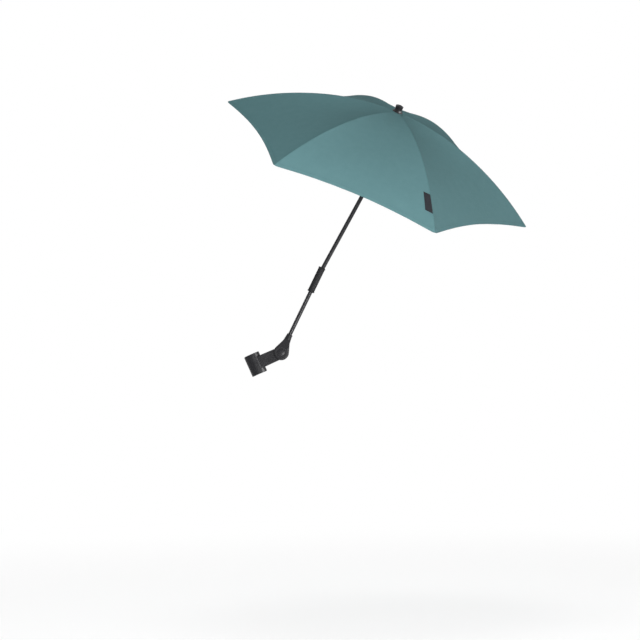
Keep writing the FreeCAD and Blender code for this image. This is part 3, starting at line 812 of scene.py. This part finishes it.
def tape_flat():
    """Width, length and flat area of the tape as it is cut."""
    width, length, area = 0.0, 0.0, 0.0
    for i in range(flat_steps):
        low, high = tape_reach(i / flat_steps), tape_reach((i + 1) / flat_steps)
        run = math.hypot(high - low, ridge_height(high) - ridge_height(low))
        length += run
        area += run * (tape_half(low) + tape_half(high))
        width = max(width, 2 * tape_half(high))
    return width, length, area


def seam_tape(index):
    """Tape sewn under the seam, between the cloth and the rib."""
    under = cloth_thick + tape_gap
    face, back, weave_uv, edge_uv = [], [], [], []
    for i in range(tape_rows + 1):
        reach = tape_reach(i / tape_rows)
        half = tape_half(reach)
        face_line, back_line = [], []
        for j in range(tape_columns + 1):
            out = half * (2 * j / tape_columns - 1)
            side = 1 if out >= 0 else -1
            across = abs(out) / (reach * pitch_sine)
            face_line.append(cloth_point(index, side, reach, across, -under))
            back_line.append(cloth_point(index, side, reach, across, -under - tape_thick))
            weave_uv.append((out, reach))
            edge_uv.append((far_from_edge, far_from_edge))
        face.append(face_line)
        back.append(back_line)
    name = "seam_tape_%d" % (index + 1)
    return sheet_piece(name, face, back, False, canvas, weave=weave_uv, edges=edge_uv)


# Tip pockets and rib ties

def tip_pocket(index):
    """Cloth pocket under the canopy's corner that the end of the rib slips into."""
    end = canopy_radius - pocket_short
    start = end - pocket_length
    rib_end = canopy_radius - rib_short + pocket_end_gap
    sewn = cloth_thick + hem_under + pocket_gap
    deep = rib_below_cloth + rib_radius + pocket_rib_gap - sewn
    face, back, weave_uv, edge_uv = [], [], [], []
    for i in range(pocket_rows + 1):
        reach = start + pocket_length * i / pocket_rows
        half = min(pocket_half, pocket_taper * (canopy_radius - reach))
        closing = smooth(reach, end, rib_end)
        face_line, back_line = [], []
        for j in range(pocket_columns + 1):
            over = 2 * j / pocket_columns - 1
            side = 1 if over >= 0 else -1
            across = abs(over) * half / (reach * pitch_sine)
            drop = sewn + deep * closing * (1 - over ** 2)
            face_line.append(cloth_point(index, side, reach, across, -drop))
            back_line.append(cloth_point(index, side, reach, across, -drop - pocket_thick))
            weave_uv.append((over * half, reach))
            edge_uv.append((far_from_edge, (1 - abs(over)) * half))
        face.append(face_line)
        back.append(back_line)
    name = "tip_pocket_%d" % (index + 1)
    return sheet_piece(name, face, back, False, canvas, weave=weave_uv, edges=edge_uv)


def rib_ties(index):
    """Turns of thread that tie the seam to its rib."""
    wind = rib_radius + 0.5 * thread_radius
    lines = []
    for reach in tie_reaches:
        line = []
        for i in range(tie_turns * tie_steps + 1):
            angle = 2 * math.pi * i / tie_steps
            along = reach + tie_pitch * (i / tie_steps - tie_turns / 2)
            rise = ridge_height(along) - rib_below_cloth + wind * math.cos(angle)
            line.append(rib_frame(index) @ Vector((along, wind * math.sin(angle), rise)))
        lines.append(line)
    return thread_piece("rib_ties_%d" % (index + 1), lines, teal_thread,
                        **{"Pitch": tie_bead_pitch, "Bead length": tie_bead_length})


# Label

def label_spot(along, over):
    """Reach and share across of a place on the label; both inputs run from 0 to 1.

    Along runs towards the hem, over runs away from the rib.
    """
    span = canopy_radius - cloth_start
    outer = 1 - label_hem_gap / span
    inner = outer - label_length / span
    width = 2 * canopy_radius * math.sin(half_pitch) * (outer + inner) / 2
    across = (label_rib_gap + label_width * over) / width
    share = inner + (outer - inner) * along
    return cloth_start + (plain_hem(across) - cloth_start) * share, across


def label_point(along, over, lift):
    reach, across = label_spot(along, over)
    return cloth_point(label_rib, label_side, reach, across, lift)


def label_patch():
    """Bare woven patch with its two short ends turned under."""
    face, back, weave_uv = [], [], []
    for i in range(label_rows + 1):
        along = i / label_rows
        face_line, back_line = [], []
        for j in range(label_columns + 1):
            over = j / label_columns
            end = min(along, 1 - along) * label_length
            edge = min(over, 1 - over) * label_width
            turned = smooth(end, label_fold + label_fold_step, label_fold - label_fold_step)
            rise = label_fold_swell * turned
            rounding = smooth(end, label_edge, 0) + smooth(edge, label_edge, 0)
            fall = label_edge_drop * label_thick * rounding
            face_line.append(label_point(along, over, label_lift + label_thick + rise - fall))
            back_line.append(label_point(along, over, label_lift))
            weave_uv.append((over * label_width, along * label_length))
        face.append(face_line)
        back.append(back_line)
    return sheet_piece("label_cloth", face, back, label_side < 0, label_black, weave=weave_uv)


def label_stitches():
    """Stitches round the label, a little in from its edge."""
    along = label_stitch_ends / label_length
    over = label_stitch_sides / label_width
    lift = label_lift + label_thick + label_stitch_lift
    corners = [(along, over), (1 - along, over), (1 - along, 1 - over), (along, 1 - over)]
    lines = []
    for start, end in zip(corners, corners[1:] + corners[:1]):
        line = []
        for i in range(label_stitch_steps + 1):
            place = [a + (b - a) * i / label_stitch_steps for a, b in zip(start, end)]
            line.append(label_point(*place, lift))
        lines.append(line)
    sizes = {
        "Pitch": label_stitch_pitch,
        "Bead length": label_stitch_length,
        "Thread radius": label_thread_radius,
    }
    return thread_piece("label_stitches", lines, black_thread, **sizes)


# Assembly of the canopy

def panel_node(index):
    """Name of the solid between a rib and the next."""
    return "canopy_panel_%d" % (index % rib_count + 1)


def sew_canopy():
    """All cloth and thread of the canopy, rib by rib."""
    width, length, area = panel_flat()
    tape_width, tape_length, tape_area = tape_flat()
    for index in range(rib_count):
        tape = seam_tape(index)
        hang_on_rib(tape, index)
        ties = rib_ties(index)
        hang_on_rib(ties, index)
        pocket = tip_pocket(index)
        hang_on_rib(pocket, index, 0)
        for side in (1, -1):
            cloth = half_panel(index, side)
            hang_on_rib(cloth, index, side)
            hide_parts(panel_node(index if side > 0 else index - 1))
            stitches = panel_stitches(index, side)
            hang_on_rib(stitches, index, side)


def sew_label():
    """The bare label with its thread, on the half panel beside its rib."""
    patch = label_patch()
    hang_on_rib(patch, label_rib, label_side)
    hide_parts("label_patch")
    stitches = label_stitches()
    hang_on_rib(stitches, label_rib, label_side)


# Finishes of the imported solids

def dress_solids():
    """A finish for each rigid node."""
    finishes = {
        "clip_body": black_plastic,
        "clip_liner": grip_rubber,
        "pivot_washers": steel,
        "pivot_bolt": bolt_plastic,
        "pivot_nut": steel,
        "yoke": black_plastic,
        "lower_rod": rod_paint,
        "grip_sleeve": grip_rubber,
        "grub_screw": steel,
        "upper_pole": pole_paint,
        "knuckle_fork": black_plastic,
        "knuckle_screw": steel,
        "knuckle_nut": steel,
        "knuckle_tongue": black_plastic,
        "mast": pole_paint,
        "catch_spring": steel,
        "crown": black_plastic,
        "crown_ring": steel,
        "cap": black_plastic,
        "runner": black_plastic,
    }
    for index in range(rib_count):
        finishes[rib_name(index)] = rib_paint
        finishes["rib_bracket_%d" % (index + 1)] = steel
        finishes["stretcher_%d" % (index + 1)] = rib_paint
    for name, finish in finishes.items():
        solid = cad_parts[name]
        solid.data.materials.clear()
        solid.data.materials.append(finish)


# Studio

def lamp(name, place, target, width, height, power):
    """Flat lamp turned to a target; its power is in watts."""
    light = bpy.data.lights.new(name, "AREA")
    light.shape = "RECTANGLE"
    light.size = width
    light.size_y = height
    light.energy = power
    holder = bpy.data.objects.new(name, light)
    holder.location = place
    holder.rotation_euler = (Vector(target) - Vector(place)).to_track_quat("-Z", "Y").to_euler()
    bpy.context.scene.collection.objects.link(holder)
    return holder


def seen_ray(tree):
    """1 for a ray that shows the background itself, directly or in a reflection."""
    path = tree.nodes.new("ShaderNodeLightPath")
    seen = math_node(tree, "MAXIMUM", path.outputs["Is Camera Ray"], path.outputs["Is Glossy Ray"])
    return math_node(tree, "MAXIMUM", seen, path.outputs["Is Transmission Ray"])


def mix_shader(tree, share, first, second):
    made = tree.nodes.new("ShaderNodeMixShader")
    feed(tree, made, 0, share)
    feed(tree, made, 1, first)
    feed(tree, made, 2, second)
    return made.outputs[0]


def pale_floor():
    """White floor that keeps the shadow, fades into the background and is clear from below."""
    corners = [(-1, -1), (1, -1), (1, 1), (-1, 1)]
    points = [(x * floor_half, y * floor_half, floor_level) for x, y in corners]
    mesh = bpy.data.meshes.new("studio_floor")
    mesh.from_pydata(points, [], [(0, 1, 2, 3)])
    made, tree, shader = new_material("floor_white", (0.86, 0.86, 0.86), 0.9)
    shader.inputs["Specular IOR Level"].default_value = 0.0
    shader.inputs["Emission Color"].default_value = (1, 1, 1, 1)
    seen = seen_ray(tree)
    tree.links.new(math_node(tree, "MULTIPLY", seen, floor_glow), shader.inputs["Emission Strength"])
    place = tree.nodes.new("ShaderNodeTexCoord").outputs["Object"]
    gap = tree.nodes.new("ShaderNodeVectorMath")
    gap.operation = "DISTANCE"
    feed(tree, gap, 0, place)
    feed(tree, gap, 1, (stage_middle[0], stage_middle[1], floor_level))
    away = map_range(tree, gap.outputs["Value"], floor_fade[0], floor_fade[1])
    white = tree.nodes.new("ShaderNodeEmission").outputs[0]
    clear = tree.nodes.new("ShaderNodeBsdfTransparent").outputs[0]
    top = mix_shader(tree, math_node(tree, "MULTIPLY", away, seen), shader.outputs[0], white)
    under = tree.nodes.new("ShaderNodeNewGeometry").outputs["Backfacing"]
    tree.links.new(mix_shader(tree, under, top, clear), tree.nodes["Material Output"].inputs["Surface"])
    new_piece("studio_floor", mesh, made)


def white_world():
    """White seen directly, and a softer even light on the object."""
    world = bpy.data.worlds.new("studio")
    bpy.context.scene.world = world
    world.use_nodes = True
    tree = world.node_tree
    ground = tree.nodes["Background"]
    ground.inputs["Color"].default_value = (1, 1, 1, 1)
    strength = map_range(tree, seen_ray(tree), 0.0, 1.0, world_light, 1.0)
    tree.links.new(strength, ground.inputs["Strength"])


def photo_camera():
    """Camera at the photograph's place, its middle ray turned to the middle of the picture."""
    data = bpy.data.cameras.new("photo_camera")
    data.sensor_width = 36
    data.lens = focal_pixels * data.sensor_width / photo_size
    data.clip_end = 50
    across = (photo_size / 2 - view_centre[0]) / focal_pixels
    up = (view_centre[1] - photo_size / 2) / focal_pixels
    camera = bpy.data.objects.new("photo_camera", data)
    camera.location = eye
    camera.rotation_euler = Vector((across, 1, up)).to_track_quat("-Z", "Y").to_euler()
    bpy.context.scene.collection.objects.link(camera)
    bpy.context.scene.camera = camera


def studio():
    """A wide low lamp in front, a narrow one at the right, and weak ones above and behind.

    The gloss lamps show only in reflections, as highlights on the black fittings.
    """
    front = lamp("front", (0.1, -3.4, -0.3), stage_middle, width=2.0, height=0.4, power=100)
    front.visible_glossy = False
    lamp("side", (3.76, -2.0, 0.3), stage_middle, width=0.7, height=1.2, power=16)
    near_floor = floor_level + 0.01
    glosses = [
        lamp("gloss_right", (3.1, -1.1, 1.3), clip_middle, width=1.6, height=2.4, power=400),
        lamp("gloss_front", (1.2, -2.8, -0.36), clip_middle, width=0.9, height=0.3, power=60),
        lamp("gloss_floor", (0.7, -1.2, near_floor), (0.7, -1.2, 1), width=1.4, height=1.4, power=40),
    ]
    for gloss in glosses:
        gloss.visible_diffuse = False
    lamp("top", (0.2, 0.4, 3.2), stage_middle, width=0.8, height=0.8, power=10)
    lamp("back", (-1.6, 4.6, 0.5), stage_middle, width=2.0, height=1.4, power=48)
    pale_floor()
    white_world()
    photo_camera()
    bpy.context.scene.view_settings.view_transform = "Standard"


sew_canopy()
sew_label()
dress_solids()
studio()
